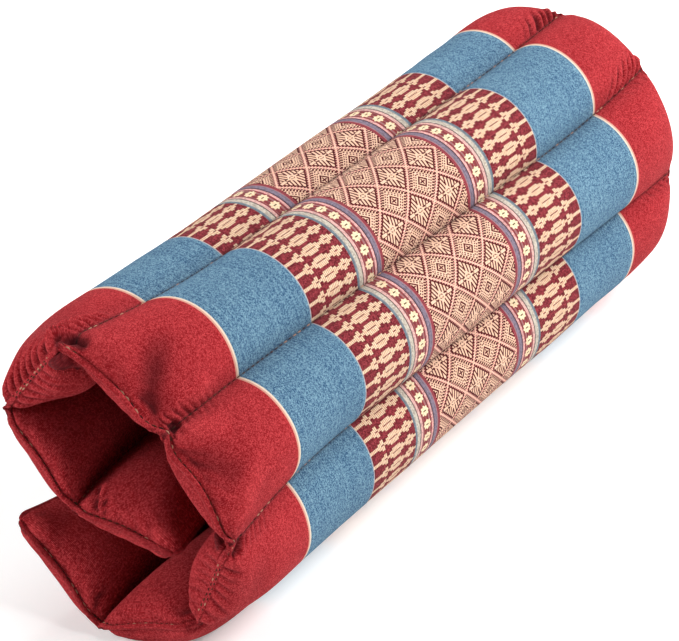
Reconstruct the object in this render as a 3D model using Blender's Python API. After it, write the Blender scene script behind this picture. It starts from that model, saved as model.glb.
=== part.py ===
"""Rolled channel mat: a filled cotton cushion with eight sewn channels, rolled up lengthwise.

The roll's axis is X. A section is drawn as seen from the near end (the -X end), with
"right" along -Y and "up" along +Z, and is held in complex numbers: right + 1j * up.
The origin is at the middle of the underside, on the floor.
"""

from collections import namedtuple

import bpy
import numpy as np

# Driving dimensions, in metres and degrees
LENGTH = 0.459
SEAM_LIP = 0.003
STITCHED_THICKNESS = 0.003
MIDDLE_WIDTH = 0.057
END_TAPER = 0.060
END_FULLNESS = 3.0
END_FLARE = 0.127
SEAM_DRAW_IN = 0.0025
FREE_CORNER_RADIUS = 0.010
TWIST = 11.5
REST_TURN = -7.0
FLAT_DEPTH = 0.0055
INNER_SLOPE_LIMIT = 50.0
INNER_SLOPE_CLEARANCE = 5.0

# Widths of the woven bands of the outer cover, from an end seam towards the middle
RED_BAND = 0.061
BLUE_BAND = 0.0615
TILE_BAND = 0.042
BORDER_BAND = 0.025

# The channels in order from the roll's inner free edge to its outer free edge. A heading is
# the direction, in degrees, in which the roll goes on from one stitch line to the next; a
# width is the straight distance between them at an end seam; rise is the outer crown's height.
Channel = namedtuple("Channel", "name near_heading heading far_heading near_width far_width rise")
CHANNELS = (
    Channel("tongue", 177.0, 170.5, 168.0, 0.0645, 0.0625, 0.0170),
    Channel("inner_wall", 131.5, 127.5, 128.5, 0.0600, 0.0630, 0.0170),
    Channel("left_side", 53.0, 34.0, 28.5, 0.0660, 0.0580, 0.0200),
    Channel("top", -31.5, -24.5, -20.0, 0.0665, 0.0570, 0.0205),
    Channel("shoulder", -49.5, -69.0, -71.0, 0.0615, 0.0640, 0.0205),
    Channel("right_side", -112.0, -99.5, -109.0, 0.0610, 0.0585, 0.0190),
    Channel("base", -160.5, -168.5, -161.5, 0.0615, 0.0610, 0.0210),
    Channel("flap", -219.5, -222.5, -229.5, 0.0670, 0.0620, 0.0190),
)

# Mesh fineness
CROWN_STEPS = 8
TAPER_STATIONS = (-SEAM_LIP, 0.0, 0.003, 0.008, 0.016, 0.027, 0.042)

# Colours, roughness
CLOTHS = {
    "red_canvas": ((0.43, 0.017, 0.026), 0.85),
    "blue_weave": ((0.095, 0.26, 0.42), 0.85),
    "tile_weave": ((0.38, 0.09, 0.08), 0.80),
    "centre_weave": ((0.52, 0.24, 0.17), 0.80),
}


def clear_scene():
    for old in list(bpy.data.objects):
        bpy.data.objects.remove(old, do_unlink=True)


def column(field):
    """One column of the channel table as an array."""
    return np.array([getattr(channel, field) for channel in CHANNELS])


def band_edges():
    """Distances from a near or far end seam at which the outer cover's bands change."""
    return np.cumsum((RED_BAND, BLUE_BAND, TILE_BAND, BORDER_BAND))


def stations():
    """Places along the roll, from the near lip to the far lip, close together at the ends."""
    half = np.concatenate((TAPER_STATIONS, band_edges(), (RED_BAND + BLUE_BAND / 2,)))
    return np.unique(np.round(np.concatenate((half, (LENGTH / 2,), LENGTH - half)), 5))


def end_weights(place):
    """How strongly a section follows the near and the far end: a square law over END_FLARE."""
    near = np.clip(1 - place / END_FLARE, 0, 1) ** 2
    far = np.clip(1 - (LENGTH - place) / END_FLARE, 0, 1) ** 2
    return near, far


def free_corner_pull(place):
    """Distance that the mat's rounded free corners draw its two free edges in."""
    from_lip = np.clip(np.minimum(place, LENGTH - place) + SEAM_LIP, 0, FREE_CORNER_RADIUS)
    return FREE_CORNER_RADIUS - np.sqrt(FREE_CORNER_RADIUS**2 - (FREE_CORNER_RADIUS - from_lip) ** 2)


def stitch_corners(place):
    """The nine stitch points of a section and the eight headings between them."""
    near, far = end_weights(place)
    heading = column("heading") + TWIST * (0.5 - place / LENGTH)
    heading += near * (column("near_heading") - column("heading") - TWIST / 2)
    heading += far * (column("far_heading") - column("heading") + TWIST / 2)
    width = MIDDLE_WIDTH + near * (column("near_width") - MIDDLE_WIDTH)
    width += far * (column("far_width") - MIDDLE_WIDTH)
    directions = np.exp(1j * np.radians(heading + REST_TURN))
    corners = np.concatenate(([0], np.cumsum(width * directions)))
    corners -= corners.mean()
    pull = free_corner_pull(place)
    corners[0] += pull * directions[0]
    corners[-1] -= pull * directions[-1]
    return corners, heading


def crown_share(place):
    """Share of the full crown at a place: a quarter superellipse over the end taper, then 1."""
    from_seam = np.clip(np.minimum(place, LENGTH - place) / END_TAPER, 0, 1)
    return (1 - (1 - from_seam) ** END_FULLNESS) ** (1 / END_FULLNESS)


def outer_crown(start, end, rise):
    """Points of a circular arc of the given rise on the chord from start to end, end left out."""
    chord = end - start
    half_angle = 2 * np.arctan(2 * rise / abs(chord)) + 1e-6
    turn = half_angle * np.linspace(-1, 1, CROWN_STEPS + 1)[:-1]
    along = 0.5 + 0.5 * np.sin(turn) / np.sin(half_angle)
    height = 0.5 * (np.cos(turn) - np.cos(half_angle)) / np.sin(half_angle)
    return start + chord * (along + 1j * height)


def inner_crown(start, end, start_slope, end_slope):
    """Points of a cubic bulge on the inner side, which leaves each stitch line at its slope."""
    chord = end - start
    along = np.linspace(0, 1, CROWN_STEPS + 1)[:-1]
    height = start_slope * along * (1 - along) ** 2 + end_slope * along**2 * (1 - along)
    return start + chord * (along - 1j * height)


def inner_slopes(heading):
    """Slope of the inner cover at each stitch line, held back where the roll bends sharply."""
    turn = np.concatenate(([0], -np.diff(heading), [0]))
    room = 90 - turn / 2 - INNER_SLOPE_CLEARANCE
    return np.tan(np.radians(np.minimum(room, INNER_SLOPE_LIMIT)))


def corner_normals(corners):
    """Unit directions out of the roll at the stitch points: the mean of both sides' normals."""
    sides = 1j * np.diff(corners)
    sides /= abs(sides)
    normals = np.concatenate((sides[:1], sides[:-1] + sides[1:], sides[-1:]))
    return normals / abs(normals)


def section(place):
    """Outer and inner outline of the mat at a place, each from inner to outer free edge."""
    corners, heading = stitch_corners(place)
    lift = corner_normals(corners) * STITCHED_THICKNESS / 2
    share = crown_share(place)
    rises = column("rise") * share
    slopes = inner_slopes(heading) * share
    outside, inside = corners + lift, corners - lift
    outer = [outer_crown(outside[i], outside[i + 1], rises[i]) for i in range(len(CHANNELS))]
    inner = [
        inner_crown(inside[i], inside[i + 1], slopes[i], slopes[i + 1]) for i in range(len(CHANNELS))
    ]
    return np.append(np.concatenate(outer), outside[-1]), np.append(np.concatenate(inner), inside[-1])


def seam_shift(place):
    """Distance that the end seams are drawn in between the stitch lines, fading inwards."""
    across = np.append(np.tile(np.arange(CROWN_STEPS) / CROWN_STEPS, len(CHANNELS)), 0)
    fade = 1 - np.clip(np.minimum(place, LENGTH - place) / END_TAPER, 0, 1)
    towards_middle = np.sign(LENGTH / 2 - place)
    return SEAM_DRAW_IN * fade * towards_middle * np.sin(np.pi * across) ** 2


def roll_points():
    """All points of the mat as stations x ring x 3, resting on the floor and centred over 0, 0."""
    rings = []
    for place in stations():
        outer, inner = section(place)
        outline = np.concatenate((outer, inner[::-1]))
        shift = seam_shift(place)
        along = place + np.concatenate((shift, shift[::-1]))
        rings.append(np.stack((along, -outline.real, outline.imag), axis=1))
    points = np.array(rings)
    points[..., 2] -= points[..., 2].min() + FLAT_DEPTH
    points[..., 2] = np.maximum(points[..., 2], 0)
    low, high = points.min(axis=(0, 1)), points.max(axis=(0, 1))
    points[..., :2] -= (low[:2] + high[:2]) / 2
    return points


def roll_faces(station_count, ring_count):
    """Quads along the roll, then a strip of quads across the mat's thickness at each end."""
    station, corner = np.meshgrid(np.arange(station_count - 1), np.arange(ring_count), indexing="ij")
    after = (corner + 1) % ring_count
    here, there = station * ring_count, (station + 1) * ring_count
    sides = np.stack((here + corner, here + after, there + after, there + corner), axis=-1)
    pair = np.arange(ring_count // 2 - 1)
    opposite = ring_count - 1 - pair
    near_cap = np.stack((pair, opposite, opposite - 1, pair + 1), axis=-1)
    far_cap = near_cap[:, ::-1] + (station_count - 1) * ring_count
    return np.concatenate((sides.reshape(-1, 4), near_cap, far_cap))


def cloth_of_faces(ring_count):
    """Index of the cloth on each face: bands on the outer cover, red canvas everywhere else."""
    middles = (stations()[:-1] + stations()[1:]) / 2
    depth = np.minimum(middles, LENGTH - middles)
    band = np.searchsorted(band_edges()[:-1], depth)
    outer = np.arange(ring_count) < ring_count // 2 - 1
    on_sides = np.where(outer[None, :], band[:, None], 0)
    return np.concatenate((on_sides.ravel(), np.zeros(2 * (ring_count // 2 - 1), dtype=int)))


def cloth_material(name, colour, roughness):
    material = bpy.data.materials.new(name)
    material.use_nodes = True
    shader = material.node_tree.nodes["Principled BSDF"]
    shader.inputs["Base Color"].default_value = (*colour, 1)
    shader.inputs["Roughness"].default_value = roughness
    shader.inputs["Metallic"].default_value = 0
    material.diffuse_color = (*colour, 1)
    return material


def make_cushion(collection):
    points = roll_points()
    station_count, ring_count = points.shape[:2]
    faces = roll_faces(station_count, ring_count)
    mesh = bpy.data.meshes.new("cushion")
    mesh.from_pydata(points.reshape(-1, 3).tolist(), [], faces.tolist())
    for name, (colour, roughness) in CLOTHS.items():
        mesh.materials.append(cloth_material(name, colour, roughness))
    mesh.polygons.foreach_set("material_index", cloth_of_faces(ring_count).astype(np.int32))
    mesh.validate()
    mesh.shade_smooth()
    mesh.set_sharp_from_angle(angle=np.radians(50))
    cushion = bpy.data.objects.new("cushion", mesh)
    collection.objects.link(cushion)
    return cushion


def main():
    clear_scene()
    collection = bpy.data.collections.new("rolled_meditation_cushion")
    bpy.context.scene.collection.children.link(collection)
    make_cushion(collection)


main()
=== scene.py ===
"""Looks of a rolled meditation cushion: a kapok mat of eight sewn channels, rolled up lengthwise.

The roll's axis is X. A section is drawn as seen from the near end (the -X end), with
"right" along -Y and "up" along +Z, and is held in complex numbers: right + 1j * up.
Lengths are in metres, but in millimetres in the materials and where a comment says so.
"""

from functools import partial, partialmethod, reduce
from types import SimpleNamespace

import bpy
import numpy as np
from mathutils import Matrix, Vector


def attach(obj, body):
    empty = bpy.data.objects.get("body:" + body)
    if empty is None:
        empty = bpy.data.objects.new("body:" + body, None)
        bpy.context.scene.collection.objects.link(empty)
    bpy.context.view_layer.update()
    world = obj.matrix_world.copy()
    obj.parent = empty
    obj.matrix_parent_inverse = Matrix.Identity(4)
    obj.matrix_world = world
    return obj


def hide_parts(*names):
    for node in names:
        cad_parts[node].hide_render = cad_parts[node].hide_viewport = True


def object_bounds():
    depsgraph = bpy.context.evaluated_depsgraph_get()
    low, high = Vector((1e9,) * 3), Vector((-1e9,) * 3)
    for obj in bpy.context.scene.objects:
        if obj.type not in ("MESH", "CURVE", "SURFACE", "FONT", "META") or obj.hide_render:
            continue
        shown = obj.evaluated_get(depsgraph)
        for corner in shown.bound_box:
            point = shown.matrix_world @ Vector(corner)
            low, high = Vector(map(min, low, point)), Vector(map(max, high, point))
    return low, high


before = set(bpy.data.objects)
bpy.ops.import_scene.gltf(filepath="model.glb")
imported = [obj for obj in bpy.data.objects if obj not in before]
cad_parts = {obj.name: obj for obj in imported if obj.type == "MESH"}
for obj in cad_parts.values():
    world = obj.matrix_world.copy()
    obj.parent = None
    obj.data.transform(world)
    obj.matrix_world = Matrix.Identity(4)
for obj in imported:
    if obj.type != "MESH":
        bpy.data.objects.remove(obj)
cad_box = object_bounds()

# The roll's driving sizes, in metres and degrees, as in the part's source
LENGTH = 0.459
SEAM_LIP = 0.003
STITCHED_THICKNESS = 0.003
MIDDLE_WIDTH = 0.057
END_TAPER = 0.060
END_FULLNESS = 3.0
END_FLARE = 0.127
FREE_CORNER_RADIUS = 0.010
TWIST = 11.5
REST_TURN = -7.0
INNER_SLOPE_LIMIT = 50.0
INNER_SLOPE_CLEARANCE = 5.0


def columns(names, *rows):
    """A table as arrays, one for each of its named columns."""
    return SimpleNamespace(**dict(zip(names.split(), map(np.array, zip(*rows)))))


# The channels in order from the roll's inner free edge to its outer free edge. Headings in
# degrees, widths and rises in metres, as in the part's source.
CHANNELS = columns(
    "name near_heading heading far_heading near_width far_width rise",
    ("tongue", 177.0, 170.5, 168.0, 0.0645, 0.0625, 0.0170),
    ("inner_wall", 131.5, 127.5, 128.5, 0.0600, 0.0630, 0.0170),
    ("left_side", 53.0, 34.0, 28.5, 0.0660, 0.0580, 0.0200),
    ("top", -31.5, -24.5, -20.0, 0.0665, 0.0570, 0.0205),
    ("shoulder", -49.5, -69.0, -71.0, 0.0615, 0.0640, 0.0205),
    ("right_side", -112.0, -99.5, -109.0, 0.0610, 0.0585, 0.0190),
    ("base", -160.5, -168.5, -161.5, 0.0615, 0.0610, 0.0210),
    ("flap", -219.5, -222.5, -229.5, 0.0670, 0.0620, 0.0190),
)
COUNT = len(CHANNELS.name)

# How each channel's near end is sewn shut. Fullness: how bluntly each cover closes on the end
# seam. In millimetres: dip is how far the seam is drawn in between its corners, lip the cloth
# beyond its stitches, pleats the height of each cover's gathers. Samples: mesh points across it.
FINISHES = columns(
    "outer_fullness inner_fullness dip lip outer_pleats inner_pleats samples",
    (2.8, 2.4, 2.5, 3.2, 0.8, 1.0, 34),
    (2.8, 2.6, 2.0, 1.8, 0.6, 0.5, 22),
    (3.1, 4.0, 2.0, 0.5, 4.8, 2.8, 60),
    (1.7, 3.2, 2.5, 3.6, 0.5, 0.5, 40),
    (1.7, 4.5, 4.5, 2.8, 0.7, 0.5, 38),
    (3.1, 4.5, 2.0, 0.5, 2.1, 1.3, 58),
    (2.7, 2.6, 2.5, 2.2, 0.6, 0.7, 22),
    (3.0, 2.4, 2.5, 2.6, 0.6, 0.9, 24),
)
POINTS_PER_PLEAT = 6
CORNER_FULLNESS = 3.8

# The far end's dip, lip and gathers, in millimetres, alike in all its channels
FAR_DIP = 2.5
FAR_LIP = 2.5
FAR_PLEATS = 0.3

# What happens where a stitch line meets an end seam, in millimetres. Draw: how far the corner
# sinks into the roll, fading within a reach, a share of a channel's width. Folds and puckers:
# heights of the small folds that spread from the corner and of those along the stitch line,
# before and after it round the mat; lean is how far the puckers slant outwards. Ear: how far
# the crumpled corner of the lip stands out.
CORNER = "draw reach folds_before folds_after puckers_before puckers_after lean ear"
NEAR_CORNERS = columns(
    CORNER,
    (0.0, 0.11, 0.0, 0.6, 0.0, 0.0, 0.0, 0.0),
    (3.0, 0.11, 0.9, 1.2, 0.3, 0.3, -0.3, 0.3),
    (3.5, 0.11, 0.9, 1.4, 0.3, 0.5, -0.3, 0.8),
    (-2.0, 0.09, 0.0, 0.0, 1.2, 0.2, 0.45, 0.6),
    (4.0, 0.11, 0.9, 1.0, 1.8, 1.4, -0.3, 0.8),
    (2.0, 0.07, 0.6, 1.2, 0.5, 2.4, -0.3, 1.2),
    (6.5, 0.08, 1.2, 1.0, 0.5, 0.5, -0.3, 0.8),
    (3.0, 0.11, 0.9, 0.9, 0.3, 0.3, -0.3, 0.3),
    (0.0, 0.11, 0.6, 0.0, 0.0, 0.0, 0.0, 0.0),
)
FAR_CORNERS = columns(
    CORNER,
    (0.0, 0.11, 0.0, 0.6, 0.0, 0.0, 0.0, 0.0),
    (3.0, 0.11, 0.9, 0.9, 0.3, 0.3, 0.2, 0.3),
    (3.0, 0.11, 0.9, 0.9, 0.5, 0.3, 0.2, 0.3),
    (4.0, 0.08, 0.3, 0.6, 5.4, 0.6, 0.15, 0.2),
    (4.0, 0.08, 0.3, 0.6, 6.5, 0.8, 0.15, 0.5),
    (3.0, 0.09, 0.6, 0.9, 0.9, 1.2, 0.2, 0.4),
    (3.0, 0.11, 0.9, 0.9, 0.5, 0.3, 0.2, 0.5),
    (3.0, 0.11, 0.9, 0.9, 0.3, 0.3, 0.2, 0.3),
    (0.0, 0.11, 0.6, 0.0, 0.0, 0.0, 0.0, 0.0),
)
NEAR_PUCKER_PITCH = 0.0052
FAR_PUCKER_PITCH = 0.0066

# Hollows near the near end, or with a negative depth swells: the place across, as the channel's
# number plus the share of the way across it, the place inwards from the seam, both radii and
# the depth, in millimetres. Pits are hollows where both covers are pulled in behind the lip.
PITS = (
    (3.05, 6.0, 6.0, 4.6, 17.0),
    (5.06, 4.5, 3.2, 3.6, 7.0),
    (6.00, 4.0, 3.5, 4.0, 6.0),
    (4.00, 4.0, 2.5, 3.5, 3.0),
)
OUTER_HOLLOWS = (
    (3.30, 10.0, 12.256, 10.0, -1.5),
    (3.83, 9.0, 10.724, 10.0, 3.8),
    (4.80, 32.0, 15.32, 14.0, 1.4),
    (2.70, 34.0, 19.15, 12.0, 1.4),
    (5.45, 28.0, 19.15, 10.0, 1.6),
    (0.10, 7.0, 8.426, 7.0, -2.6),
    (7.90, 7.0, 8.426, 7.0, -2.6),
)
INNER_HOLLOWS = (
    (2.72, 24.0, 19.916, 18.0, -8.0),
    (0.10, 7.0, 8.426, 7.0, -3.2),
    (7.90, 7.0, 8.426, 7.0, -3.2),
)

# Single folds at the near end: a start and an end, each given as a hollow's place is, half the
# width and the height in millimetres, negative for a crease
OUTER_FOLDS = (
    (3.97, -14.0, 3.38, 38.0, 10.0, -4.6),
    (3.97, 16.0, 3.84, 46.0, 5.0, 2.0),
    (4.02, 1.0, 4.28, 34.0, 7.0, 2.6),
    (3.98, -11.0, 4.72, 24.0, 9.5, -3.0),
    (4.90, 2.0, 4.55, 36.0, 7.0, 2.0),
    (2.995, 14.0, 2.78, 7.0, 1.4, 5.0),
    (2.995, 18.5, 2.79, 11.5, 1.4, 5.2),
    (2.995, 23.0, 2.80, 16.0, 1.5, 5.0),
    (2.995, 28.0, 2.81, 21.0, 1.6, 4.4),
    (2.995, 33.5, 2.82, 26.5, 1.8, 3.4),
    (2.995, 39.5, 2.84, 33.0, 2.0, 2.4),
)
INNER_FOLDS = (
    (0.88, 18.0, 0.76, 0.0, 1.8, -3.2),
    (0.84, 20.0, 0.72, 0.0, 1.8, 2.8),
    (0.81, 17.0, 0.69, 0.0, 1.8, -2.6),
    (7.10, 1.0, 7.22, 18.0, 1.8, -1.6),
)

# How high the inner cover's small folds and puckers are as a share of the outer cover's
INNER_SHARE = 0.6

# How far the two stitch points at the base channel's near end sag, as right + 1j * up
NEAR_SAG = (0.0 - 0.0020j, -0.0035 - 0.0065j)

# Borders of the outer cover's woven bands, from an end seam to the middle: their places in the
# pattern, and along the roll's near and far half. Within an end seam's hold the cloth's own
# length counts instead.
PATTERN_BORDERS = (0.0, 0.0610, 0.1235, 0.1650, 0.1895, LENGTH / 2)
NEAR_BORDERS = (0.0, 0.0612, 0.1248, 0.1656, 0.1901, LENGTH / 2)
FAR_BORDERS = (0.0, 0.0577, 0.1196, 0.1634, 0.1890, LENGTH / 2)
NEAR_HOLD = 0.050
FAR_HOLD = 0.047
CHANNEL_CLOTH = 0.0766
CLOTH_MM = CHANNEL_CLOTH * 1000

# Mesh fineness: distances between rows of points over the lips, the near and far ends and the
# middle, and the number of points round each free edge
LIP_STEP = 0.00075
NEAR_STEP = 0.0011
FAR_STEP = 0.0010
MIDDLE_STEP = 0.018
EDGE_POINTS = 3

# A crown's usual rise, how far the lip and the underside are rounded, and a sine's mean size
USUAL_RISE = 0.020
LIP_ROUNDING = 0.0012
FLOOR_SOFTNESS = 0.0008
SINE_MEAN = 0.637

# A cloth's own colour as a share of its screen brightness in bright studio light
STUDIO_LIGHT = 0.80

# Surface values of the cotton and of the floor, and sizes in metres
COTTON = {
    "Roughness": 0.85, "Specular IOR Level": 0.1, "Sheen Weight": 0.02, "Sheen Roughness": 0.6,
}
PALE_FLOOR = {
    "Base Color": (0.92, 0.92, 0.91, 1), "Roughness": 0.9, "Emission Color": (1, 1, 1, 1),
}
THREAD_HEIGHT = 0.0004
STITCH_SINK = 0.0001
FLOOR_HALF = 6.0


def soft_step(value, start, end):
    """Smooth rise from 0 at start to 1 at end: 3 t^2 - 2 t^3."""
    t = np.clip((value - start) / (end - start), 0, 1)
    return t * t * (3 - 2 * t)


def soft_noise(u, v, seed):
    """Smooth value noise in -1 to 1: random numbers on a unit lattice, blended by soft steps."""
    size = 64
    table = np.random.default_rng(seed).uniform(-1, 1, (size, size))
    u, v = np.broadcast_arrays(u, v)
    iu, iv = np.floor(u).astype(int), np.floor(v).astype(int)
    fu, fv = soft_step(u - iu, 0, 1), soft_step(v - iv, 0, 1)

    def at(right, up):
        return table[(iu + right) % size, (iv + up) % size]

    low = at(0, 0) * (1 - fu) + at(1, 0) * fu
    high = at(0, 1) * (1 - fu) + at(1, 1) * fu
    return low * (1 - fv) + high * fv


def bell(distance, reach):
    """Bell curve of a distance: exp(-(distance / reach)^2)."""
    return np.exp(-((distance / reach) ** 2))


def pleat_wave(turns):
    """Rounded ridges with sharp creases between them: the size of a sine, less its mean."""
    return abs(np.sin(np.pi * turns)) - SINE_MEAN


def end_rows(step):
    """Places over one tapered end, evenly spaced along a blunt superellipse of its crown."""
    share = np.linspace(0, 1, 2001) ** 0.8
    blunt = END_FULLNESS + 0.5
    place = END_TAPER * (1 - np.maximum(1 - share**blunt, 0) ** (1 / blunt))
    length = np.cumsum(np.hypot(np.diff(place), USUAL_RISE * np.diff(share)))
    length = np.insert(length, 0, 0)
    return np.interp(np.linspace(0, length[-1], int(length[-1] / step) + 1), length, place)


def stations():
    """Places along the roll, from the near lip to the far lip, close together at the ends."""
    lip = np.linspace(-SEAM_LIP, 0, int(SEAM_LIP / LIP_STEP) + 1)[:-1]
    near, far = end_rows(NEAR_STEP), end_rows(FAR_STEP)
    span = LENGTH - 2 * END_TAPER
    even = np.linspace(0, 1, int(span / MIDDLE_STEP) + 1)
    middle = END_TAPER + span * (even - 0.10 * np.sin(2 * np.pi * even))[1:-1]
    return np.concatenate((lip, near, middle, LENGTH - far[::-1], LENGTH - lip[::-1]))


def across_points():
    """Channel number and share of the way across it for each point, closer at the stitch lines."""
    number = np.repeat(np.arange(COUNT), FINISHES.samples)
    even = np.concatenate([np.arange(samples) / samples for samples in FINISHES.samples])
    share = 0.62 * even + 0.38 * (0.5 - 0.5 * np.cos(np.pi * even))
    return np.append(number, COUNT - 1), np.append(share, 1.0)


# The mat's grid. Its rows have a place along the roll, a distance from the nearer end seam and
# a mark for the near half; two of them are the end seams.
PLACE = stations()[:, None]
FROM_END = np.minimum(PLACE, LENGTH - PLACE)
NEAR = PLACE < LENGTH / 2
SEAM_ROWS = np.argmin(abs(PLACE)), np.argmin(abs(PLACE - LENGTH))

# Its columns have a channel's number and the share of the way across it, the nearer stitch
# line's number with the share and the length of cloth to it, and a bow from line to line. In a
# ring the outer cover's columns come first, then the inner cover's, backwards, so that a
# column's opposite is BACK less its own index.
NUMBER, SHARE = across_points()
ACROSS = NUMBER + SHARE
LINE = NUMBER + (SHARE > 0.5)
FROM_LINE = np.minimum(SHARE, 1 - SHARE)
SIDE = FROM_LINE * CHANNEL_CLOTH
BOW = np.sin(np.pi * SHARE)
COLUMNS = len(NUMBER)
OUTER_SIDE = slice(0, COLUMNS)
BACK = 2 * COLUMNS + EDGE_POINTS - 1
INNER_SIDE = slice(BACK, BACK - COLUMNS, -1)


def stitch_corners():
    """Nine stitch points for each row, by walking the channels' widths along their headings.

    A row follows the near and the far end's own values by a square law over END_FLARE.
    """
    near = np.clip(1 - PLACE / END_FLARE, 0, 1) ** 2
    far = np.clip(1 - (LENGTH - PLACE) / END_FLARE, 0, 1) ** 2
    middle = CHANNELS.heading
    heading = middle + TWIST * (0.5 - PLACE / LENGTH)
    heading += near * (CHANNELS.near_heading - middle - TWIST / 2)
    heading += far * (CHANNELS.far_heading - middle + TWIST / 2)
    width = MIDDLE_WIDTH + near * (CHANNELS.near_width - MIDDLE_WIDTH)
    width += far * (CHANNELS.far_width - MIDDLE_WIDTH)
    directions = np.exp(1j * np.radians(heading + REST_TURN))
    corners = np.cumsum(np.insert(width * directions, 0, 0, axis=1), axis=1)
    corners -= corners.mean(axis=1, keepdims=True)
    corners[:, 6:8] += near**2 * np.array(NEAR_SAG)
    short = FREE_CORNER_RADIUS - np.clip(FROM_END[:, 0] + SEAM_LIP, 0, FREE_CORNER_RADIUS)
    pull = FREE_CORNER_RADIUS - np.sqrt(FREE_CORNER_RADIUS**2 - short**2)
    corners[:, 0] += pull * directions[:, 0]
    corners[:, -1] -= pull * directions[:, -1]
    return corners, heading


def corner_normals(corners):
    """Unit directions out of the roll at the stitch points: the mean of both sides' normals."""
    sides = 1j * np.diff(corners, axis=1)
    sides = sides / abs(sides)
    normals = np.concatenate((sides[:, :1], sides[:, :-1] + sides[:, 1:], sides[:, -1:]), axis=1)
    return normals / abs(normals)


def crown_share(fullness):
    """Share of the full crown: a quarter superellipse over the end taper, then 1.

    Near the near end its fullness is the channel's own, near the far end the usual one.
    """
    power = np.where(NEAR, fullness, END_FULLNESS)
    return (1 - (1 - np.clip(FROM_END / END_TAPER, 0, 1)) ** power) ** (1 / power)


def lip_thickness():
    """Half the thickness of the sewn cloth: pinched by the stitches, full and round beyond them."""
    round_off = np.clip((LIP_ROUNDING - SEAM_LIP - FROM_END) / LIP_ROUNDING, 0, 1)
    swell = 1 + 0.25 * soft_step(-FROM_END, 0, 0.0012)
    pinch = 1 - 0.5 * bell(FROM_END, 0.0008)
    return STITCHED_THICKNESS / 2 * pinch * swell * np.sqrt(1.01 - round_off**2)


def covers(outer_fullness, inner_fullness):
    """Outer and inner cover of the mat as complex grids of rows x columns.

    The outer crown is a circular arc on the chord between two stitch points; the inner one is
    a cubic bulge that leaves each stitch point at a slope held back where the roll bends.
    """
    corners, heading = stitch_corners()
    lift = corner_normals(corners) * lip_thickness()
    outside, inside = corners + lift, corners - lift
    chord = outside[:, NUMBER + 1] - outside[:, NUMBER]
    rise = CHANNELS.rise[NUMBER] * crown_share(outer_fullness)
    half_angle = 2 * np.arctan(2 * rise / abs(chord)) + 1e-6
    turn = half_angle * (2 * SHARE - 1)
    along = 0.5 + 0.5 * np.sin(turn) / np.sin(half_angle)
    height = 0.5 * (np.cos(turn) - np.cos(half_angle)) / np.sin(half_angle)
    outer = outside[:, NUMBER] + chord * (along + 1j * height)
    bend = np.pad(-np.diff(heading), ((0, 0), (1, 1)))
    room = np.minimum(90 - bend / 2 - INNER_SLOPE_CLEARANCE, INNER_SLOPE_LIMIT)
    slope = np.tan(np.radians(room))
    height = slope[:, NUMBER] * SHARE * (1 - SHARE) ** 2
    height += slope[:, NUMBER + 1] * SHARE**2 * (1 - SHARE)
    chord = inside[:, NUMBER + 1] - inside[:, NUMBER]
    inner = inside[:, NUMBER] + chord * (SHARE - 1j * height * crown_share(inner_fullness))
    return outer, inner


def blunt_corners(fullness):
    """Each channel's own fullness in its middle, and the corners' towards its stitch lines."""
    own = BOW**1.2
    return fullness[NUMBER] * own + CORNER_FULLNESS * (1 - own)


def from_corners(values, reach):
    """Sum over the corners of each one's value, faded by the distance across from it."""
    apart = ACROSS - np.arange(COUNT + 1)[:, None]
    return values @ bell(apart, np.reshape(reach, (-1, 1)))


def dip_of(table, bow):
    """How far an end seam is drawn in: a bow in each channel, and a bell curve at each corner."""
    return bow * BOW**2 + from_corners(table.draw, table.reach)


def along_roll():
    """X of each point: place along the roll, plus the dips of the end seams and their corners."""
    near_dip = dip_of(NEAR_CORNERS, FINISHES.dip[NUMBER])
    dip = np.where(NEAR, near_dip, dip_of(FAR_CORNERS, FAR_DIP)) / 1000
    beside = np.clip(NUMBER + np.where(SHARE < 0.5, -1, 1), 0, COUNT - 1)
    own = 0.5 + 0.5 * soft_step(FROM_LINE, 0, 0.25)
    widths = FINISHES.lip
    near_lip = widths[NUMBER] * own + widths[beside] * (1 - own)
    near_lip += 2 * from_corners(NEAR_CORNERS.ear, 0.06)
    far_lip = FAR_LIP + from_corners(FAR_CORNERS.ear, 0.05)
    lip = np.where(NEAR, near_lip, far_lip) / 1000
    fade = np.clip(1 - FROM_END / END_TAPER, 0, 1) ** 2
    beyond = np.clip(-FROM_END / SEAM_LIP, 0, 1)
    inwards = np.where(NEAR, 1.0, -1.0)
    return PLACE + inwards * (fade * (dip + lip - SEAM_LIP) + beyond * (SEAM_LIP - lip))


def end_pleats(depth, height):
    """Gathers that run in from the end seams: curved ridges, each of its own length."""
    turns = NUMBER * 20 + SHARE * (FINISHES.samples[NUMBER] // POINTS_PER_PLEAT)
    lean = 0.5 * soft_noise(turns / 3.1, depth / 0.012, 3) - 0.9 * (depth / 0.014) ** 2
    reach = 0.017 + 0.005 * soft_noise(turns + lean, 0.0, 5)
    fade = soft_step(depth, 0.0004, 0.0025) * (1 - soft_step(depth, 0.25 * reach, reach))
    fade = fade * soft_step(FROM_LINE, 0.02, 0.13)
    size = 0.75 + 0.45 * soft_noise(turns / 1.7, 0.5, 9)
    return size * np.where(NEAR, height[NUMBER], FAR_PLEATS) * pleat_wave(turns + lean) * fade


def corner_folds(depth, height):
    """Small folds that spread like a fan from each corner: ridges in the angle round it."""
    radius, angle = np.hypot(depth, SIDE), np.arctan2(depth, SIDE)
    wave = pleat_wave(angle * 2.6 + LINE * 0.37 + 0.4 * soft_noise(radius / 0.006, LINE * 2.3, 13))
    fade = soft_step(radius, 0.0015, 0.005) * (1 - soft_step(radius, 0.006, 0.018))
    return height * wave * fade


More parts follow.
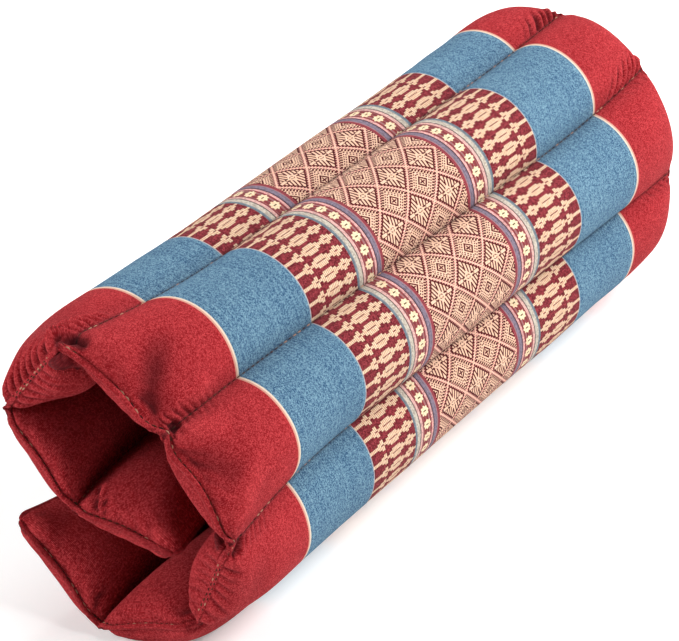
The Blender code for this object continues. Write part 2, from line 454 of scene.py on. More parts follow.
def line_puckers(depth, height, lean, pitch):
    """Puckers across a stitch line near the ends: leaning ridges, longer where they are higher."""
    slant = depth + lean * SIDE
    wave = pleat_wave(slant / pitch + 0.3 * soft_noise(slant / 0.011, LINE * 3.7, 17))
    reach = 0.009 + 1.3 * height / 1000
    fade = soft_step(SIDE, 0.0002, 0.0018) * (1 - soft_step(SIDE, 0.3 * reach, reach))
    fade = fade * soft_step(depth, 0.001, 0.004) * (1 - soft_step(depth, 0.016, 0.048))
    return height * wave * fade * (0.8 + 0.4 * soft_noise(slant / 0.007, LINE * 1.9, 19))


def hollows(depth, table):
    """Soft hollows near the near end: a bell curve in both directions for each."""
    total = np.zeros(depth.shape)
    for across, inwards, across_radius, inwards_radius, sink in table:
        beside = bell((ACROSS - across) * CLOTH_MM, across_radius)
        total -= sink * beside * bell(depth * 1000 - inwards, inwards_radius)
    return total * NEAR


def pits(depth):
    """The pits, cut off at the seam itself."""
    return hollows(depth, PITS) * soft_step(depth, 0, 0.003)


def single_folds(depth, table):
    """The listed folds: a bell curve across each one's line, fading towards both its ends."""
    total = np.zeros(depth.shape)
    for start, start_inwards, end, end_inwards, width, height in table:
        across, inwards = (ACROSS - start) * CLOTH_MM, depth * 1000 - start_inwards
        run_across, run_inwards = (end - start) * CLOTH_MM, end_inwards - start_inwards
        t = (across * run_across + inwards * run_inwards) / (run_across**2 + run_inwards**2)
        t = np.clip(t, 0, 1)
        off = np.hypot(across - t * run_across, inwards - t * run_inwards)
        total += height * bell(off, width) * np.sin(np.pi * t)
    return total * NEAR * soft_step(depth, 0, 0.004)


def ears():
    """Crumpled corners of the end seams' lips: waves that grow towards the lip's edge."""
    index = np.arange(COUNT + 1)[:, None]
    waves = np.sin((ACROSS - index) * 60 + index) * bell(ACROSS - index, 0.07)
    size = np.where(NEAR, NEAR_CORNERS.ear @ waves, FAR_CORNERS.ear @ waves)
    return size * np.clip(-FROM_END / SEAM_LIP, 0, 1)


def lumps(seed):
    """Slight unevenness of the filling under the cloth: smooth noise, still at the stitch lines."""
    across = ACROSS * CHANNEL_CLOTH
    broad = soft_noise(PLACE / 0.045 + 7, across / 0.030 + 3, seed)
    small = soft_noise(PLACE / 0.017 + 2, across / 0.014 + 5, seed + 1)
    return (0.7 * broad + 0.25 * small) * BOW**0.8 * soft_step(FROM_END, 0.002, 0.02)


def beside_lines(before, after):
    """For the points of each column, the value before the nearer stitch line or after it."""
    return np.where(SHARE > 0.5, before[LINE], after[LINE])


def relief(depth, outer):
    """Height of a cover over its plain form, in millimetres: the sum of the parts above."""
    total = end_pleats(depth, FINISHES.outer_pleats if outer else FINISHES.inner_pleats)
    strength = 1.0 if outer else INNER_SHARE
    ends = ((NEAR_CORNERS, NEAR, NEAR_PUCKER_PITCH), (FAR_CORNERS, ~NEAR, FAR_PUCKER_PITCH))
    for table, here, pitch in ends:
        folds = strength * beside_lines(table.folds_before, table.folds_after)
        puckers = strength * beside_lines(table.puckers_before, table.puckers_after)
        total += here * corner_folds(depth, folds)
        total += here * line_puckers(depth, puckers, table.lean[LINE], pitch)
    total += single_folds(depth, OUTER_FOLDS if outer else INNER_FOLDS)
    total += hollows(depth, OUTER_HOLLOWS if outer else INNER_HOLLOWS) * BOW**0.5
    total += lumps(21 if outer else 31)
    return total + (1 if outer else -1) * (pits(depth) + ears())


def grid_normals(points):
    """Unit normals of a closed grid of rings: the cross product of its two directions."""
    around = np.roll(points, -1, axis=1) - np.roll(points, 1, axis=1)
    normals = np.cross(around, np.gradient(points, axis=0))
    size = np.linalg.norm(normals, axis=2, keepdims=True)
    return normals / np.maximum(size, 1e-12)


def edge_turn(first, last):
    """Points of a half circle that rounds the mat's free edge from one cover to the other."""
    angle = np.pi * np.arange(1, EDGE_POINTS + 1) / (EDGE_POINTS + 1)
    return ((first + last) / 2)[:, None] + ((first - last) / 2)[:, None] * np.exp(-1j * angle)


def ring_of(outer, inner, first_edge, last_edge):
    """A row right round the mat: outer cover, outer free edge, inner cover, inner free edge."""
    return np.concatenate((outer, last_edge, inner[:, ::-1], first_edge), axis=1)


def plain_ring(values):
    """The same value on both covers, carried over the rounded free edges."""
    edges = (values[:, [at]].repeat(EDGE_POINTS, axis=1) for at in (0, -1))
    return ring_of(values, values, *edges)


def roll_form(outer_fullness, inner_fullness):
    """The mat's plain form as rows x ring x 3, before it is set on the floor."""
    outer, inner = covers(outer_fullness, inner_fullness)
    first_edge = edge_turn(inner[:, 0], outer[:, 0])
    section = ring_of(outer, inner, first_edge, edge_turn(outer[:, -1], inner[:, -1]))
    x = plain_ring(along_roll()) - LENGTH / 2
    return np.stack((x, -section.real, section.imag), axis=2)


def set_in_box(points, plain):
    """Moves the mat as the plain form is moved into the frame's box, and lays it on the floor."""
    low, high = plain.min(axis=(0, 1)), plain.max(axis=(0, 1))
    box_low, box_high = np.array(cad_box)
    points[..., 1] += (box_low[1] + box_high[1] - low[1] - high[1]) / 2
    z = points[..., 2] + box_high[2] - high[2]
    points[..., 2] = (z + np.sqrt(z**2 + FLOOR_SOFTNESS**2)) / 2
    return points


def cloth_depth(points):
    """Length of cloth from each point to the nearer end seam, and to the near lip."""
    steps = np.linalg.norm(np.diff(points, axis=0), axis=2)
    run = np.insert(np.cumsum(steps, axis=0), 0, 0, axis=0)
    return np.minimum(run - run[SEAM_ROWS[0]], run[SEAM_ROWS[1]] - run), run


def cloth_places(run):
    """Two cloth coordinates in metres: across the channels, and along the roll from its middle.

    Between the holds the bands' borders set it, and beyond them the length of the cloth.
    """
    place, half = np.clip(PLACE, 0, LENGTH), LENGTH / 2
    from_near = np.interp(place, NEAR_BORDERS, PATTERN_BORDERS)
    from_far = np.interp(LENGTH - place, FAR_BORDERS, PATTERN_BORDERS)
    along = np.where(NEAR, from_near - half, half - from_far) + np.zeros(run.shape)
    first, last = np.argmin(abs(PLACE - NEAR_HOLD)), np.argmin(abs(LENGTH - PLACE - FAR_HOLD))
    along[:first] = along[first] - (run[first] - run[:first])
    along[last:] = along[last] + (run[last:] - run[last])
    return np.stack(np.broadcast_arrays(plain_ring((ACROSS * CHANNEL_CLOTH)[None]), along), axis=2)


def crease_shade_of(height, sunk):
    """How far each point lies in a crease, 1.25 at most, or up on a ridge, down to -1.

    It is the mean height of the points round it less its own, plus a share of its own depth;
    in a pit it is at least a share of the pit's depth. Heights are in millimetres. By it the red
    canvas gets painted shade, darker in creases and pits, and a painted highlight, lighter on
    ridges.
    """
    row = np.arange(len(height))
    mean = height
    for _ in range(10):
        lengthwise = mean[np.maximum(row - 1, 0)] + mean[np.minimum(row + 1, row[-1])]
        mean = (mean + lengthwise + np.roll(mean, 1, axis=1) + np.roll(mean, -1, axis=1)) / 5
    crease = (mean - height) / np.where(NEAR, 1.2, 0.8) + np.maximum(0, -height) / 11
    return np.clip(np.maximum(crease, -sunk / 1.5 - 0.5), -1, 1.25)


def roll_surface():
    """The whole mat as rows x ring x 3, with its cloth coordinates and its creases for painted shade.

    The form follows the stitch points; the relief is then laid along the surface's normals.
    """
    plain = roll_form(END_FULLNESS, END_FULLNESS)
    points = roll_form(blunt_corners(FINISHES.outer_fullness), blunt_corners(FINISHES.inner_fullness))
    depth, run = cloth_depth(points)
    height, sunk = np.zeros(run.shape), np.zeros(run.shape)
    for outer, side in ((True, OUTER_SIDE), (False, INNER_SIDE)):
        height[:, side] = relief(depth[:, side], outer)
        sunk[:, side] = pits(depth[:, side])
    points += grid_normals(points) * height[:, :, None] / 1000
    return set_in_box(points, plain), cloth_places(run), crease_shade_of(height, sunk)


def ring_faces(rows, ring):
    """Quads between neighbouring rings, all round."""
    here, corner = np.meshgrid(np.arange(rows - 1) * ring, np.arange(ring), indexing="ij")
    start, end = here + corner, here + (corner + 1) % ring
    return np.stack((start, end, end + ring, start + ring), axis=-1).reshape(-1, 4)


def cap_faces(rows, ring):
    """Quads across the mat's thickness at the near and the far lip, and at the rounded edges."""
    reach = EDGE_POINTS // 2 + 1
    side = np.arange(-reach, COLUMNS + reach)
    opposite = BACK - side
    near = np.stack((side[:-1], opposite[:-1], opposite[1:], side[1:]), axis=-1) % ring
    return np.concatenate((near, near[:, ::-1] + (rows - 1) * ring))


def srgb(red, green, blue):
    """A cloth colour from its 0 to 255 screen values in studio light, as linear with full alpha."""
    screen = np.array([red, green, blue]) / 255
    linear = np.where(screen <= 0.04045, screen / 12.92, ((screen + 0.055) / 1.055) ** 2.4)
    return (*(STUDIO_LIGHT * linear).tolist(), 1.0)


class Wiring:
    """Makes and joins nodes in one tree; an input may be a number, a screen colour or a socket."""

    def __init__(self, tree):
        self.tree = tree

    def join(self, value, socket):
        if isinstance(value, bpy.types.NodeSocket):
            self.tree.links.new(value, socket)
        else:
            socket.default_value = srgb(*value) if isinstance(value, tuple) else value

    def node(self, kind, inputs=None, **settings):
        node = self.tree.nodes.new(kind)
        for name, value in settings.items():
            setattr(node, name, value)
        for name, value in (inputs or {}).items():
            self.join(value, node.inputs[name])
        return node

    def math(self, operation, *inputs):
        return self.node("ShaderNodeMath", dict(enumerate(inputs)), operation=operation).outputs[0]

    plus = partialmethod(math, "ADD")
    minus = partialmethod(math, "SUBTRACT")
    rest = partialmethod(math, "SUBTRACT", 1.0)
    ratio = partialmethod(math, "DIVIDE")
    power = partialmethod(math, "POWER")
    size = partialmethod(math, "ABSOLUTE")
    floor = partialmethod(math, "FLOOR")
    fraction = partialmethod(math, "FRACT")
    mirrored = partialmethod(math, "PINGPONG")
    above = partialmethod(math, "GREATER_THAN")
    below = partialmethod(math, "LESS_THAN")

    def product(self, *inputs):
        return reduce(partial(self.math, "MULTIPLY"), inputs)

    def largest(self, *inputs):
        return reduce(partial(self.math, "MAXIMUM"), inputs)

    def between(self, value, start, end):
        """1 where the value lies from start to end, else 0."""
        return self.product(self.above(value, start), self.below(value, end))

    def paint(self, share, first, second):
        """Colour that goes from first to second by the share."""
        mixed = self.node("ShaderNodeMix", {0: share, 6: first, 7: second}, data_type="RGBA")
        return mixed.outputs[2]

    def blend(self, share, first, second):
        """Number that goes from first to second by the share."""
        return self.node("ShaderNodeMix", {0: share, 2: first, 3: second}).outputs[0]

    def random(self, first, second, seed=0.0):
        """A random number for each pair of whole numbers."""
        cell = self.node("ShaderNodeCombineXYZ", {0: first, 1: second, 2: seed}).outputs[0]
        noise = self.node("ShaderNodeTexWhiteNoise", {"Vector": cell}, noise_dimensions="3D")
        return noise.outputs["Value"]

    def steps(self, value, colours):
        """Colour ramp with hard steps: colours is a list of (start in 0 to 1, colour)."""
        ramp = self.node("ShaderNodeValToRGB", {0: value})
        ramp.color_ramp.interpolation = "CONSTANT"
        elements = ramp.color_ramp.elements
        while len(elements) < len(colours):
            elements.new(1.0)
        for element, (start, colour) in zip(elements, colours):
            element.position = start
            element.color = colour
        return ramp.outputs[0]

    def attribute(self, name):
        return self.node("ShaderNodeAttribute", attribute_name=name).outputs["Fac"]

    def use(self, group, *values):
        """Places a node group with values for its inputs in order, and returns its outputs."""
        return self.node("ShaderNodeGroup", dict(enumerate(values)), node_tree=group).outputs

    def put_out(self, *values):
        """Joins values to the group's outputs in order, and returns the finished group."""
        self.node("NodeGroupOutput", dict(enumerate(values)))
        return self.tree


def new_group(name, inputs, outputs=("Color", "Height")):
    """The wiring of a new node group with named inputs and outputs, and its given inputs."""
    group = bpy.data.node_groups.new(name, "ShaderNodeTree")
    for side, labels in (("INPUT", inputs), ("OUTPUT", outputs)):
        for label in labels:
            kind = "NodeSocketColor" if label == "Color" else "NodeSocketFloat"
            group.interface.new_socket(label, in_out=side, socket_type=kind)
    given = group.nodes.new("NodeGroupInput").outputs
    return Wiring(group), [given[label] for label in inputs]


def plain_weave_group():
    """Crossing threads: height from two rows of round threads, tones at random per thread."""
    inputs = ("Across", "Along", "Across Pitch", "Along Pitch")
    w, (across, along, across_pitch, along_pitch) = new_group(
        "plain_weave", inputs, ("Height", "Tone", "Line Tone"),
    )
    a, b = w.ratio(across, across_pitch), w.ratio(along, along_pitch)
    row, line = w.floor(a), w.floor(b)
    round_a = w.size(w.math("SINE", w.product(a, np.pi)))
    round_b = w.size(w.math("SINE", w.product(b, np.pi)))
    over = w.mirrored(w.plus(row, line), 1.0)
    crossing = w.math("SQRT", w.product(round_a, round_b))
    height = w.product(w.blend(over, round_a, round_b), crossing)
    return w.put_out(height, w.random(row, line), w.random(0.0, line, 3.0))


def red_canvas_group(plain_weave):
    """Red cotton canvas: threads between two reds, dark gaps and slow changes of shade."""
    w, (across, along, pitch, grid) = new_group("red_canvas", ("Across", "Along", "Pitch", "Grid"))
    weave = w.use(plain_weave, across, along, pitch, pitch)
    colour = w.paint(w.power(weave["Tone"], 1.3), (178, 18, 30), (255, 84, 90))
    colour = w.paint(w.product(w.rest(weave["Height"]), grid), colour, (78, 4, 12))
    place = w.node("ShaderNodeCombineXYZ", {0: across, 1: along}).outputs[0]
    cloud = w.node("ShaderNodeTexNoise", {"Vector": place, "Scale": 0.06, "Detail": 2.0}).outputs[0]
    colour = w.paint(w.product(w.minus(cloud, 0.35), 0.3), colour, (170, 12, 24))
    return w.put_out(colour, weave["Height"])


# Weaver's charts and stripe tables for the outer cover, in millimetres from the end seam

# The brocade's repeat. PICKS is the number of threads from the star's centre to the centre of
# the next diamond, both ways.
PICKS = 20.0
STAR_ACROSS = 24.6
STAR_ALONG = 26.4
STAR_ORIGIN = 18.0
ROW_PITCH = STAR_ACROSS / 3
PICK_PITCH = 1.3

CREAM_LINE = (59.6, 62.0)
TILE = (123.5, 165.0)
BORDER = (165.0, 189.5)
BORDER_STRIPES = (
    (165.0, (112, 138, 150)),
    (167.0, (218, 208, 188)),
    (169.9, (70, 32, 32)),
    (170.7, (255, 194, 182)),
    (172.6, (150, 34, 40)),
    (181.2, (255, 190, 184)),
    (182.9, (62, 34, 52)),
    (183.8, (134, 122, 144)),
    (186.9, (160, 24, 48)),
)
ROSETTE_MIDDLE = 177.0
ROSETTE_HALF = (3.1, 3.6)

# Tile motif column by column from the blue band: half its height and half the dark slit; and
# the height that is 1 in the colour ramp that holds them
TILE_COLUMNS = (
    (0.95, 0.0), (0.95, 0.0), (0.95, 0.0), (1.95, 0.0), (3.05, 0.33), (0.75, 0.0),
    (1.95, 0.0), (3.05, 0.27), (3.05, 0.27), (3.05, 0.27), (1.95, 0.0), (0.90, 0.0),
    (1.95, 0.0), (3.05, 0.33), (1.95, 0.0), (0.75, 0.0),
)
TILE_FULL = 4.0


def brocade_group():
    """Centre band: light threads on a maroon ground, in diamonds with a star or ringed square.

    Row and line are counted in threads from the star's centre, mirrored both ways. Their sum is
    the reach: star, dotted pink frame, ladder, dotted field, ring. Their difference is the beat
    of the dots along the frames; the star's feathers are slanting stripes of the line.
    """
    w, (across, along) = new_group("brocade", ("Across", "Along"))
    down = w.product(w.minus(across, STAR_ORIGIN), 2 * PICKS / STAR_ACROSS)
    row = w.mirrored(down, PICKS)
    line = w.mirrored(w.product(along, 2 * PICKS / STAR_ALONG), PICKS)
    reach = w.plus(row, line)
    beat = w.fraction(w.product(w.minus(row, line), 0.25))
    slant = w.minus(w.plus(line, 1.1), w.product(row, 0.3))
    feathers = w.below(w.fraction(w.ratio(slant, 3.5)), 0.56)
    feathers = w.product(feathers, w.above(row, 2.0), w.below(reach, 15.4))
    bar = w.product(w.below(row, 1.4), w.between(line, 8.2, 14.6))
    heart = w.product(w.below(reach, 5.6), w.rest(w.between(reach, 2.0, 3.4)))
    spine = w.product(w.below(row, 0.6), w.below(line, 7.4))
    star = w.largest(feathers, bar, heart, spine)
    off_frame = w.size(w.minus(reach, PICKS))
    frame_dots = w.product(w.between(off_frame, 1.2, 2.9), w.below(beat, 0.66))
    hook = w.fraction(w.plus(beat, w.product(reach, 0.06)))
    ladder = w.product(w.between(reach, 22.8, 26.6), w.below(hook, 0.64))
    rows = w.fraction(w.plus(w.ratio(reach, 2.8), 0.2))
    dots = w.product(w.between(reach, 27.4, 33.0), w.below(rows, 0.62), w.below(beat, 0.58))
    side = w.minus(PICKS, w.largest(row, line))
    cross = w.product(w.above(reach, 36.8), w.below(side, 0.7))
    gaps = w.largest(frame_dots, ladder, dots, w.between(reach, 33.8, 36.0), cross)
    light = w.blend(w.above(reach, 17.4), star, w.rest(gaps))
    tone = w.random(w.floor(down), w.floor(w.product(along, 1.5)))
    cream = w.paint(tone, (232, 189, 158), (253, 220, 189))
    pink = w.paint(tone, (228, 142, 138), (246, 172, 164))
    cream_dashes = w.product(w.below(off_frame, 1.3), w.between(beat, 0.25, 0.75))
    pinkness = w.product(w.below(off_frame, 2.6), w.rest(cream_dashes), 0.75)
    thread = w.paint(w.largest(pinkness, w.product(tone, 0.3)), cream, pink)
    ground = w.paint(tone, (64, 9, 14), (106, 27, 32))
    return w.put_out(w.paint(light, ground, thread), light)


def off_row(w, across):
    """Distance across from the nearest row of motifs, as a signed share of the rows' pitch."""
    rows = w.ratio(w.minus(across, STAR_ORIGIN), ROW_PITCH)
    return w.minus(rows, w.math("ROUND", rows))


def tile_group(plain_weave):
    """Tile band: a stem, a small flower, a stepped block and a flower, repeated at each row."""
    w, (across, from_end) = new_group("tile_band", ("Across", "From End"))
    chart = [
        (index / len(TILE_COLUMNS), (half / TILE_FULL, slit / TILE_FULL, 0.0, 1.0))
        for index, (half, slit) in enumerate(TILE_COLUMNS)
    ]
    at = w.ratio(w.minus(from_end, TILE[0]), TILE[1] - TILE[0])
    charted = w.node("ShaderNodeSeparateColor", {0: w.steps(at, chart)}).outputs
    off = w.product(w.size(off_row(w, across)), ROW_PITCH)
    inside, slit = (w.below(off, w.product(charted[k], TILE_FULL)) for k in (0, 1))
    light = w.product(inside, w.rest(slit))
    weave = w.use(plain_weave, across, from_end, 0.62, 0.64)
    thread = w.paint(weave["Tone"], (236, 196, 160), (255, 232, 200))
    picks = w.size(w.math("COSINE", w.product(from_end, np.pi / PICK_PITCH)))
    thread = w.paint(w.product(w.power(picks, 4.0), 0.75), thread, (160, 84, 66))
    lively = w.paint(weave["Tone"], (92, 12, 22), (184, 70, 80))
    still = w.paint(weave["Tone"], (76, 18, 22), (136, 46, 50))
    ground = w.paint(w.blend(w.above(off, 3.1), 0.55, 0.95), still, lively)
    ground = w.paint(w.product(w.rest(weave["Height"]), 0.4), ground, (70, 14, 20))
    height = w.plus(w.product(light, 0.7), w.product(weave["Height"], 0.3))
    return w.put_out(w.paint(light, ground, thread), height)


def border_group(plain_weave):
    """Border band: plain stripes and a row of eight-lobed rosettes with a dark slit."""
    w, (across, from_end) = new_group("border_band", ("Across", "From End"))
    width = BORDER[1] - BORDER[0]
    at = w.ratio(w.minus(from_end, BORDER[0]), width)
    stripes = [((start - BORDER[0]) / width, srgb(*colour)) for start, colour in BORDER_STRIPES]
    down = w.product(off_row(w, across), ROW_PITCH / ROSETTE_HALF[0])
    over = w.ratio(w.minus(from_end, ROSETTE_MIDDLE), ROSETTE_HALF[1])
    reach = w.math("SQRT", w.plus(w.product(down, down), w.product(over, over)))
    lobes = w.math("COSINE", w.product(w.math("ARCTAN2", down, over), 8.0))
    petal = w.below(reach, w.plus(0.88, w.product(lobes, 0.12)))
    slit = w.product(w.below(w.size(down), 0.11), w.below(w.size(over), 0.32))
    light = w.product(petal, w.rest(slit))
    weave = w.use(plain_weave, across, from_end, 0.9, 0.7)
    colour = w.paint(w.product(w.rest(weave["Tone"]), 0.55), w.steps(at, stripes), (52, 26, 34))
    colour = w.paint(w.product(w.power(weave["Line Tone"], 3.0), 0.25), colour, (235, 215, 215))
    thread = w.paint(weave["Tone"], (244, 206, 166), (255, 240, 202))
    colour = w.paint(light, colour, thread)
    colour = w.paint(w.product(slit, petal), colour, (86, 66, 40))
    return w.put_out(colour, w.plus(w.product(light, 0.6), w.product(weave["Height"], 0.4)))


def blue_group(plain_weave):
    """Blue band: dark warp and pale weft threads that show as a speckle with fine lines."""
    w, (across, along) = new_group("blue_band", ("Across", "Along"))
    weave = w.use(plain_weave, across, along, 0.55, 0.5)
    tone = w.plus(w.product(weave["Tone"], 0.80), w.product(weave["Line Tone"], 0.20))
    colour = w.paint(w.power(tone, 1.15), (12, 76, 126), (166, 212, 232))
    colour = w.paint(w.product(w.rest(weave["Height"]), 0.35), colour, (36, 78, 122))
    return w.put_out(colour, weave["Height"])


def matt_material(name, finish):
    """A material with the given values on its Principled BSDF, its wiring and that shader."""
    material = bpy.data.materials.new(name)
    material.use_nodes = True
    shader = material.node_tree.nodes["Principled BSDF"]
    for label, value in finish.items():
        shader.inputs[label].default_value = value
    return material, Wiring(material.node_tree), shader.inputs


def cloth_coordinates(w):
    """Cloth coordinates in millimetres: across the channels, along the roll from its middle."""
    place = w.node("ShaderNodeUVMap", uv_map="cloth").outputs[0]
    across, along, _ = w.node("ShaderNodeSeparateXYZ", {0: place}).outputs
    return w.product(across, 1000.0), w.product(along, 1000.0)


def painted_crease_shade_and_highlight(w, colour):
    """Red canvas a little darker in a crease and lighter on a ridge: painted shade and highlight."""
    crease = w.attribute("crease")
    # Painted shade towards a dark red in creases and pits; painted highlight towards a pale red on
    # ridges
    dark = w.product(w.largest(crease, 0.0), 0.66)
    light = w.product(w.largest(w.product(crease, -1.0), 0.0), 0.30)
    return w.paint(light, w.paint(dark, colour, (76, 4, 12)), (248, 92, 94))


def finish_cloth(w, shader, colour, height):
    """Joins a colour and the threads' height, as a bump, to the shader."""
    w.join(colour, shader["Base Color"])
    bump = w.node("ShaderNodeBump", {"Strength": 0.8, "Distance": THREAD_HEIGHT, "Height": height})
    w.join(bump.outputs[0], shader["Normal"])


def outer_cover_material(groups):
    """The woven outer cover: red ends, blue, tile, border and centre bands, mirrored; with painted
    shade towards the stitch lines and in the red's creases.
    """
    material, w, shader = matt_material("woven_outer_cover", COTTON)
    across, along = cloth_coordinates(w)
    from_end = w.minus(LENGTH * 500, w.size(along))
    red = w.use(groups["red_canvas"], across, along, 0.6, 0.5)
    colour, height = painted_crease_shade_and_highlight(w, red["Color"]), red["Height"]
    second_half = w.above(from_end, sum(CREAM_LINE) / 2)
    cream_line = w.paint(second_half, (244, 178, 158), (255, 236, 212))
    colour = w.paint(w.above(from_end, CREAM_LINE[0]), colour, cream_line)
    bands = (
        (CREAM_LINE[1], "blue", along), (TILE[0], "tile", from_end),
        (BORDER[0], "border", from_end), (BORDER[1], "brocade", along),
    )
    for start, name, lengthwise in bands:
        band = w.use(groups[name], across, lengthwise)
        beyond = w.above(from_end, start)
        colour = w.paint(beyond, colour, band["Color"])
        height = w.blend(beyond, height, band["Height"])
    pale = w.between(from_end, TILE[0] - 0.6, TILE[0] + 0.1)
    colour = w.paint(w.product(pale, 0.8), colour, (214, 204, 200))
    # Painted shade: darker towards each stitch line, in a narrow and a broad band, for the shade in
    # the valleys between the channels
    from_line = w.mirrored(across, CLOTH_MM / 2)
    for reach, share in ((1.8, 0.55), (11.0, 0.24)):
        painted_valley_shade = w.largest(w.rest(w.ratio(from_line, reach)), 0.0)
        colour = w.paint(w.product(painted_valley_shade, share), colour, (40, 14, 22))
    finish_cloth(w, shader, colour, height)
    return material


def under_cover_material(groups):
    """The plain red canvas of the under cover, with a coarser grid of threads."""
    material, w, shader = matt_material("red_under_cover", COTTON)
    red = w.use(groups["red_canvas"], *cloth_coordinates(w), 0.8, 0.7)
    # The under cover's red canvas also gets the painted crease shade and ridge highlight
    finish_cloth(w, shader, painted_crease_shade_and_highlight(w, red["Color"]), red["Height"])
    return material


def thread_material():
    """Dark brown sewing thread; a stitch's own tone turns a few of them pale."""
    material, w, shader = matt_material("sewing_thread", COTTON)
    tone = w.attribute("tone")
    colour = w.paint(tone, (44, 18, 18), (98, 62, 46))
    w.join(w.paint(w.above(tone, 0.74), colour, (190, 142, 116)), shader["Base Color"])
    return material


def add_object(name, data):
    """A new object with the given data, linked to the scene."""
    item = bpy.data.objects.new(name, data)
    bpy.context.scene.collection.objects.link(item)
    return item


def mesh_object(name, points, faces, materials):
    """A mesh piece from arrays of points and faces, linked to the scene and shaded smooth."""
    mesh = bpy.data.meshes.new(name)
    mesh.from_pydata(points.reshape(-1, 3).tolist(), [], faces.tolist())
    for material in materials:
        mesh.materials.append(material)
    mesh.shade_smooth()
    return add_object(name, mesh)


def add_values(piece, name, values):
    """Gives each point of a piece a number for its material to read."""
    layer = piece.data.attributes.new(name, "FLOAT", "POINT")
    layer.data.foreach_set("value", values.astype(np.float32).ravel())


def add_uv(piece, cloth):
    """Writes the cloth coordinates of each point to the corners of its faces."""
    mesh = piece.data
    corner = np.empty(len(mesh.loops), dtype=np.int32)
    mesh.loops.foreach_get("vertex_index", corner)
    layer = mesh.uv_layers.new(name="cloth")
    layer.data.foreach_set("uv", cloth.reshape(-1, 2)[corner].astype(np.float32).ravel())


def make_cushion(outer_material, inner_material):
    """The filled mat in one piece, with its two covers' materials; and its grid of points."""
    points, cloth, crease = roll_surface()
    rows, ring = points.shape[:2]
    faces = np.concatenate((ring_faces(rows, ring), cap_faces(rows, ring)))
    cushion = mesh_object("rolled_cushion", points, faces, (outer_material, inner_material))
    add_uv(cushion, cloth)
    # Crease values that drive the red canvas's painted shade and painted highlight
    add_values(cushion, "crease", crease)
    index = np.arange(len(faces))
    on_outer = (index % ring < COLUMNS + 1) & (index < (rows - 1) * ring)
    cushion.data.polygons.foreach_set("material_index", np.where(on_outer, 0, 1).astype(np.int32))
    return cushion, points


def stitches(name, starts, ends, normals, material, seed, thread):
    """Short stitches of thread: each a slim arched body of five rings from start to end.

    A ring's radius is thread * (1.05 - q^4)^(1/2) and its lift thread * (1 - q^2) less a
    little, for q from -1 to 1 along the stitch.
    """
    axis = ends - starts
    side = np.cross(axis, normals)
    side /= np.linalg.norm(side, axis=1, keepdims=True)
    q = np.array([-1.0, -0.75, 0.0, 0.75, 1.0])
    angle = 2 * np.pi * np.arange(6) / 6
    lift = thread * (1 - q**2) - STITCH_SINK
    centre = (starts + ends)[:, None] / 2 + axis[:, None] * q[:, None] / 2
    centre = centre + normals[:, None] * lift[:, None]
    rim = side[:, None] * np.cos(angle)[:, None] + normals[:, None] * np.sin(angle)[:, None]
    radius = thread * np.sqrt(1.05 - q**4)
    points = centre[:, :, None] + rim[:, None] * radius[:, None, None]
    cap = np.array([[0, 3, 2, 1], [0, 5, 4, 3], [24, 25, 26, 27], [24, 27, 28, 29]])
    one = np.concatenate((ring_faces(5, 6), cap))
    faces = (one + 30 * np.arange(len(starts))[:, None, None]).reshape(-1, 4)
    piece = mesh_object(name, points, faces, (material,))
    tone = np.random.default_rng(seed).uniform(0, 1, len(starts))
    add_values(piece, "tone", tone.repeat(30))
    return piece


def dashes(path, normals, length, gap):
    """Starts, ends and normals of even stitches along a path of points."""
    reach = np.insert(np.cumsum(np.linalg.norm(np.diff(path, axis=0), axis=1)), 0, 0)
    begin = np.arange(gap, reach[-1] - length, length + gap)

    def at(values, where):
        return np.stack([np.interp(where, reach, values[:, k]) for k in range(3)], axis=1)

    middle = at(normals, begin + length / 2)
    middle /= np.linalg.norm(middle, axis=1, keepdims=True)
    return at(path, begin), at(path, begin + length), middle


def make_stitching(points, material):
    """Stitches along both end seams and down the seven channel lines, on both covers."""
    normals = grid_normals(points)
    seams, lines = [], []
    for row in SEAM_ROWS:
        for side in (slice(1, COLUMNS - 1), slice(BACK - COLUMNS + 2, BACK)):
            seams.append(dashes(points[row, side], normals[row, side], 0.0030, 0.0008))
    for index in range(1, COUNT):
        at = int(np.argmax(NUMBER == index))
        for side in (at, BACK - at):
            lines.append(dashes(points[8:-8, side], normals[8:-8, side], 0.0028, 0.0012))
    seams, lines = ([np.concatenate(part) for part in zip(*rows)] for rows in (seams, lines))
    return (
        stitches("end_seam_stitching", *seams, material, 41, 0.00045),
        stitches("channel_stitching", *lines, material, 43, 0.00032),
    )


# Camera at the photograph's angle, in metres and degrees
CAMERA_PLACE = (-1.29086, -0.93988, 0.90842)
CAMERA_AZIMUTH = -53.256
CAMERA_ELEVATION = 27.489
CAMERA_ROLL = 6.578
LENS = 175.883

# Soft lights round the mat: azimuth and elevation in degrees, side in metres, power in watts
LIGHTS = (
    ("key_light", 48, 28, 0.9, 41),
    ("end_light", 90, 42, 0.9, 22),
    ("fill_light", 225, 22, 1.0, 35),
    ("side_light", -6, 46, 0.7, 20),
)
LIGHT_DISTANCE = 2.0
MAT_MIDDLE = np.array([0, 0, 0.08])


def facing(azimuth, elevation):
    """Right, up and back directions of something that looks at the mat from a direction.

    Back is (sin a cos e, -cos a cos e, sin e) for an azimuth a and an elevation e in degrees.
    """
    a, e = np.radians((azimuth, elevation))
    back = np.array([np.sin(a) * np.cos(e), -np.cos(a) * np.cos(e), np.sin(e)])
    right = np.cross([0.0, 0.0, 1.0], back)
    right /= np.linalg.norm(right)
    return right, np.cross(back, right), back


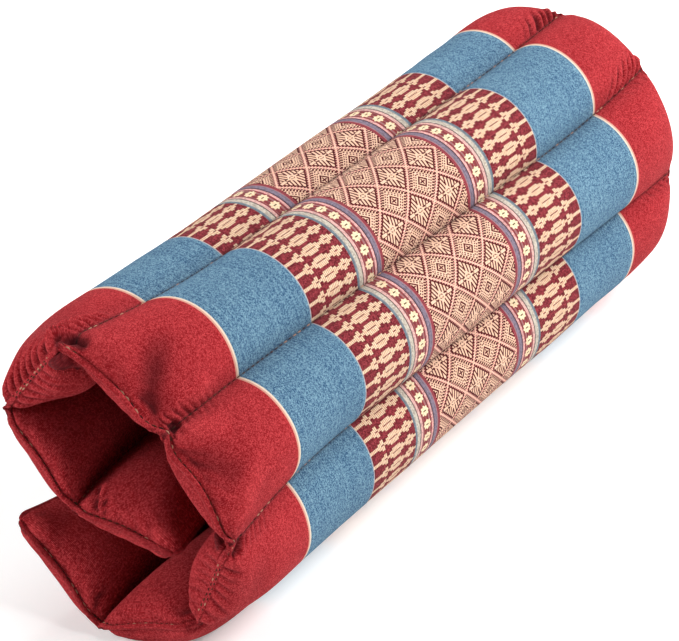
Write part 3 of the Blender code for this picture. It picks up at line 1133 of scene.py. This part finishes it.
def set_at(item, place, directions):
    """Puts an object at a place, with its axes along three directions."""
    turn = Matrix(np.stack(directions, axis=1)).to_4x4()
    item.matrix_world = Matrix.Translation(place) @ turn


def make_camera():
    """Camera turned by azimuth and elevation round the upright, then rolled about its view."""
    level, upright, back = facing(CAMERA_AZIMUTH, CAMERA_ELEVATION)
    roll = np.radians(CAMERA_ROLL)
    right = np.cos(roll) * level - np.sin(roll) * upright
    up = np.sin(roll) * level + np.cos(roll) * upright
    data = bpy.data.cameras.new("photo_camera")
    data.lens = LENS
    camera = add_object("photo_camera", data)
    set_at(camera, CAMERA_PLACE, (right, up, back))
    bpy.context.scene.camera = camera


def make_light(name, azimuth, elevation, side, power):
    """A square soft light that faces the mat's middle."""
    data = bpy.data.lights.new(name, "AREA")
    data.size = side
    data.energy = power
    directions = facing(azimuth, elevation)
    set_at(add_object(name, data), directions[2] * LIGHT_DISTANCE + MAT_MIDDLE, directions)


def make_stage():
    """A pale floor that looks white to the camera, a white world and the soft lights."""
    material, w, shader = matt_material("pale_floor", PALE_FLOOR)
    glow = w.product(w.node("ShaderNodeLightPath").outputs["Is Camera Ray"], 0.22)
    w.join(glow, shader["Emission Strength"])
    corners = FLOOR_HALF * np.array([[-1, -1, 0], [1, -1, 0], [1, 1, 0], [-1, 1, 0]])
    mesh_object("studio_floor", corners, np.array([[0, 1, 2, 3]]), (material,))
    world = bpy.data.worlds.new("studio_world")
    world.use_nodes = True
    background = world.node_tree.nodes["Background"].inputs
    background["Color"].default_value = (1, 1, 1, 1)
    background["Strength"].default_value = 0.14
    bpy.context.scene.world = world
    bpy.context.scene.view_settings.view_transform = "Standard"
    for light in LIGHTS:
        make_light(*light)


weave = plain_weave_group()
groups = {
    "red_canvas": red_canvas_group(weave),
    "blue": blue_group(weave),
    "tile": tile_group(weave),
    "border": border_group(weave),
    "brocade": brocade_group(),
}
cushion, surface = make_cushion(outer_cover_material(groups), under_cover_material(groups))
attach(cushion, "root")
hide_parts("cushion")
for seam in make_stitching(surface, thread_material()):
    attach(seam, "root")
make_camera()
make_stage()
